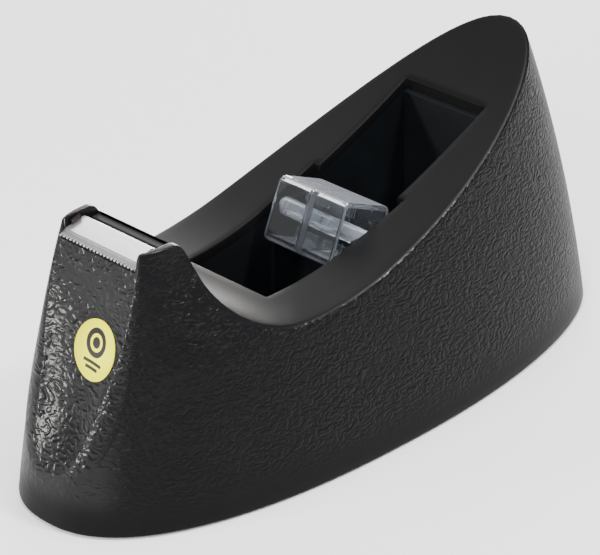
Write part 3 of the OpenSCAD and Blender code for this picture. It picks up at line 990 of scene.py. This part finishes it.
class DISPENSER_OT_label(bpy.types.Operator):
    """Lay the round label on the front face"""
    bl_idname = "dispenser.label"
    bl_label = "Label"

    def execute(self, context):
        colours = context.scene.dispenser_colours
        skin = Shell(context.scene.dispenser_sizes)
        lo, hi = box_mm("front_label")
        mid = (lo + hi) / 2
        radius = (hi.y - lo.y) / 2
        tilt = atan2(profile.lean.x, profile.lean.y)
        bm = bmesh.new()
        bmesh.ops.create_circle(bm, cap_ends=True, segments=96, radius=radius - 0.02)
        for thickness in (0.12,) + 6 * (0.8,):
            inner = [f for f in bm.faces if len(f.verts) > 4]
            bmesh.ops.inset_region(bm, faces=inner, thickness=thickness, use_even_offset=True)
        centre = [f for f in bm.faces if len(f.verts) > 4]
        bmesh.ops.poke(bm, faces=centre)
        for v in bm.verts:
            across, up = v.co.x, v.co.y
            z = mid.z + up * cos(tilt)
            s = profile.seek(lambda t: profile.place(t)[0].y > z, 0.0, profile.face_end)
            c, n = profile.place(s)
            edge = radius - sqrt(across ** 2 + up ** 2)
            lift = 0.25 - drop(edge - 0.02, 0.1) - skin.hollow(s, mid.y - across)
            v.co = (c.x + n.x * lift, mid.y - across, c.y + n.y * lift)
        rim = [e for e in bm.edges if e.is_boundary]
        for v in points(bmesh.ops.extrude_edge_only(bm, edges=rim)["geom"]):
            v.co.x += 0.22 * cos(tilt)
            v.co.z -= 0.22 * sin(tilt)
        front = min(bm.faces, key=lambda f: (f.calc_center_median() - mid).length)
        turn_out(bm, front, (-1, 0, 0))
        ink = printed_label("label_print", tuple(colours.label), tuple(colours.ink), mid, tilt)
        obj = to_object(bm, "round_label", ink)
        fit(obj, "base", "label", "front_label")
        return {"FINISHED"}


class DISPENSER_OT_hub(bpy.types.Operator):
    """Build the two clear halves of the hub"""
    bl_idname = "dispenser.hub"
    bl_label = "Hub"

    def execute(self, context):
        colours = context.scene.dispenser_colours
        lo, hi = box_mm("hub_axle")
        tube = (hi.x - lo.x) / 2 + TUBE_WALL
        near = box_mm("hub_half_near")
        clear = clear_plastic("clear_hub", tuple(colours.clear))
        for side, name, node in ((-1, "hub_near", "hub_half_near"), (1, "hub_far", "hub_half_far")):
            bm = self.half(near[1].y - near[0].y, tube)
            turned = Matrix.Rotation(radians(90), 4, "X") @ Matrix.Rotation(HUB_TILT, 4, "Z")
            bmesh.ops.transform(bm, matrix=turned, verts=bm.verts)
            if side > 0:
                bmesh.ops.scale(bm, vec=(1, -1, 1), verts=bm.verts)
                bmesh.ops.reverse_faces(bm, faces=bm.faces)
            bmesh.ops.translate(bm, vec=(lo + hi) / 2, verts=bm.verts)
            fit(to_object(bm, name, clear, smooth=False), "hub", "hub", node)
        return {"FINISHED"}

    @staticmethod
    def half(long, tube):
        """One half upright on its web: a square cup with a tube and four ribs in it."""
        bm = bmesh.new()
        bmesh.ops.create_grid(bm, x_segments=1, y_segments=1, size=HUB_HALF)
        bmesh.ops.bevel(bm, geom=list(bm.verts), offset=HUB_CORNER, segments=8, affect="VERTICES", profile=0.5,
                        material=-1)
        made = bmesh.ops.extrude_face_region(bm, geom=list(bm.faces))["geom"]
        bmesh.ops.translate(bm, vec=(0, 0, long - 0.02), verts=points(made))
        bmesh.ops.recalc_face_normals(bm, faces=bm.faces)
        lid = [f for f in bm.faces if f.normal.z > 0.9]
        bmesh.ops.inset_region(bm, faces=lid, thickness=HUB_WALL, use_even_offset=True)
        hollow = [f for f in bm.faces if f.normal.z > 0.9 and len(f.verts) > 4]
        sunk = bmesh.ops.extrude_face_region(bm, geom=hollow)["geom"]
        bmesh.ops.translate(bm, vec=(0, 0, HUB_WEB - long), verts=points(sunk))
        bmesh.ops.delete(bm, geom=hollow, context="FACES")

        foot = Matrix.Translation((0, 0, HUB_WEB + 0.02))
        circle = bmesh.ops.create_circle(bm, cap_ends=True, segments=40, radius=tube, matrix=foot)["verts"]
        disc = circle[0].link_faces[0]
        bmesh.ops.inset_region(bm, faces=[disc], thickness=TUBE_WALL - 0.05)
        bmesh.ops.delete(bm, geom=[disc], context="FACES")
        ring = [f for f in bm.faces if any(v in circle for v in f.verts)]
        raised = bmesh.ops.extrude_face_region(bm, geom=ring)["geom"]
        bmesh.ops.translate(bm, vec=(0, 0, long - 1.6), verts=points(raised))
        inner, outer, high = tube - 0.05, HUB_HALF - HUB_WALL + 0.05, long - 4.02
        for turn in range(4):
            rib = bmesh.ops.create_cube(bm, size=1.0)["verts"]
            bmesh.ops.scale(bm, vec=(outer - inner, RIB, high), verts=rib)
            bmesh.ops.translate(bm, vec=((outer + inner) / 2, 0, HUB_WEB + 0.02 + high / 2), verts=rib)
            bmesh.ops.rotate(bm, cent=(0, 0, 0), matrix=Matrix.Rotation(turn * pi / 2, 3, "Z"), verts=rib)
        bmesh.ops.recalc_face_normals(bm, faces=bm.faces)
        sharp = [e for e in bm.edges if len(e.link_faces) == 2 and e.calc_face_angle(0) > 0.9]
        bmesh.ops.bevel(bm, geom=sharp, offset=0.2, segments=3, affect="EDGES", profile=0.5, material=-1,
                        clamp_overlap=True)
        bmesh.ops.translate(bm, vec=(0, 0, 0.01), verts=bm.verts)
        return bm


class DISPENSER_OT_carried(bpy.types.Operator):
    """Finish the pieces that keep their CAD shape: tub, base plate, pad, weights, screws and spindle"""
    bl_idname = "dispenser.carried"
    bl_label = "Tub, base and spindle"

    def execute(self, context):
        colours = context.scene.dispenser_colours
        repaint("well_tub", plain_black("tub_black", (0.004, 0.005, 0.006), 0.42))
        repaint("base_plate", plain_black("plate_black", (0.02, 0.02, 0.021), 0.5))
        repaint("foot_pad", pad_foam("pad_foam"))
        zinc = dull_metal("screw_zinc", (0.62, 0.63, 0.64), 0.25, 0.0012)
        for node in ("base_screws", "ballast_screws"):
            repaint(node, zinc)
        iron = dull_metal("cast_iron", (0.12, 0.12, 0.125), 0.55, 0.002)
        for node in ("ballast_rear", "ballast_front"):
            repaint(node, iron)
        repaint("hub_axle", clear_plastic("clear_spindle", tuple(colours.clear), 0.08, 0.12))
        return {"FINISHED"}


class DISPENSER_OT_stage(bpy.types.Operator):
    """Set out the floor, the soft lights and the camera"""
    bl_idname = "dispenser.stage"
    bl_label = "Stage"

    def execute(self, context):
        scene = context.scene
        bm = bmesh.new()
        bmesh.ops.create_grid(bm, x_segments=2, y_segments=2, size=6000.0)
        paper = Sheet("floor_paper")
        mottle = paper.noise(paper.place(), 3.0, 2.0)
        base = paper.blend(mottle, (0.90, 0.90, 0.90), (0.92, 0.92, 0.92))
        paint = paper.finish(base_color=base, roughness=0.9 + mottle * 0.05)
        to_object(bm, "floor", paint, smooth=False)

        world = bpy.data.worlds.new("studio")
        world.use_nodes = True
        back = world.node_tree.nodes["Background"]
        back.inputs["Color"].default_value = (1.0, 1.0, 1.0, 1.0)
        back.inputs["Strength"].default_value = 0.35
        scene.world = world

        def softbox(name, at, aim, wide, high, watts, tone=(1, 1, 1)):
            data = bpy.data.lights.new(name, "AREA")
            data.shape, data.size, data.size_y = "RECTANGLE", wide, high
            data.energy, data.color = watts, tone
            lamp = bpy.data.objects.new(name, data)
            spot = Vector(at)
            lamp.matrix_world = Matrix.LocRotScale(
                spot, (spot - Vector(aim)).to_track_quat("Z", "Y"), None)
            scene.collection.objects.link(lamp)

        softbox("overhead", (0.0, -0.10, 0.95), (0, 0, 0.03), 0.9, 0.7, 13.0)
        softbox("left", (-0.72, 0.35, 0.17), (-0.075, 0, 0.025), 0.09, 0.12, 4.4, (1.0, 0.98, 0.95))
        softbox("front_left", (-0.62, -0.36, 0.50), (-0.05, 0, 0.03), 0.3, 0.3, 7.0)
        softbox("near_high", (0.22, -0.55, 0.75), (0.0, 0, 0.03), 0.12, 0.12, 7.0)
        softbox("back_high", (0.38, 0.58, 0.60), (-0.05, 0, 0.05), 0.45, 0.45, 2.4)
        softbox("behind", (0.70, 0.60, 0.13), (-0.03, 0, 0.04), 0.6, 0.22, 13.0, (1.0, 0.98, 0.94))

        turn, lift, roll = radians(-43.51), radians(27.37), radians(-1.13)
        right = Vector((cos(turn), sin(turn), 0))
        back_way = Vector((sin(turn) * cos(lift), -cos(turn) * cos(lift), sin(lift)))
        up = back_way.cross(right)
        tilted_right = right * cos(roll) + up * sin(roll)
        tilted_up = up * cos(roll) - right * sin(roll)
        lens = bpy.data.cameras.new("camera")
        lens.lens, lens.sensor_width = 167.33, 36.0
        lens.clip_start, lens.clip_end = 0.05, 50.0
        camera = bpy.data.objects.new("camera", lens)
        camera.matrix_world = Matrix((
            (tilted_right.x, tilted_up.x, back_way.x, -0.00616 + back_way.x * 0.603),
            (tilted_right.y, tilted_up.y, back_way.y, back_way.y * 0.603),
            (tilted_right.z, tilted_up.z, back_way.z, 0.02936 + back_way.z * 0.603),
            (0, 0, 0, 1)))
        scene.collection.objects.link(camera)
        scene.camera = camera
        return {"FINISHED"}


class DISPENSER_PT_panel(bpy.types.Panel):
    """Sizes, colours and pieces of the dispenser"""
    bl_label = "Tape dispenser"
    bl_idname = "DISPENSER_PT_panel"
    bl_space_type = "VIEW_3D"
    bl_region_type = "UI"
    bl_category = "Dispenser"

    def draw(self, context):
        column = self.layout.column()
        for group in (context.scene.dispenser_sizes, context.scene.dispenser_colours):
            for key in group.__annotations__:
                column.prop(group, key)
            column.separator()
        for piece in PIECES:
            column.operator(piece.bl_idname)


PIECES = (DISPENSER_OT_shell, DISPENSER_OT_cutter, DISPENSER_OT_label, DISPENSER_OT_hub,
          DISPENSER_OT_carried, DISPENSER_OT_stage)
CLASSES = (DispenserSizes, DispenserColours) + PIECES + (DISPENSER_PT_panel,)


def register():
    for cls in CLASSES:
        bpy.utils.register_class(cls)
    bpy.types.Scene.dispenser_sizes = PointerProperty(type=DispenserSizes)
    bpy.types.Scene.dispenser_colours = PointerProperty(type=DispenserColours)


def unregister():
    del bpy.types.Scene.dispenser_colours
    del bpy.types.Scene.dispenser_sizes
    for cls in reversed(CLASSES):
        bpy.utils.unregister_class(cls)


def main():
    register()
    bpy.ops.dispenser.shell()
    bpy.ops.dispenser.cutter()
    bpy.ops.dispenser.label()
    bpy.ops.dispenser.hub()
    bpy.ops.dispenser.carried()
    bpy.ops.dispenser.stage()


if __name__ == "__main__":
    main()
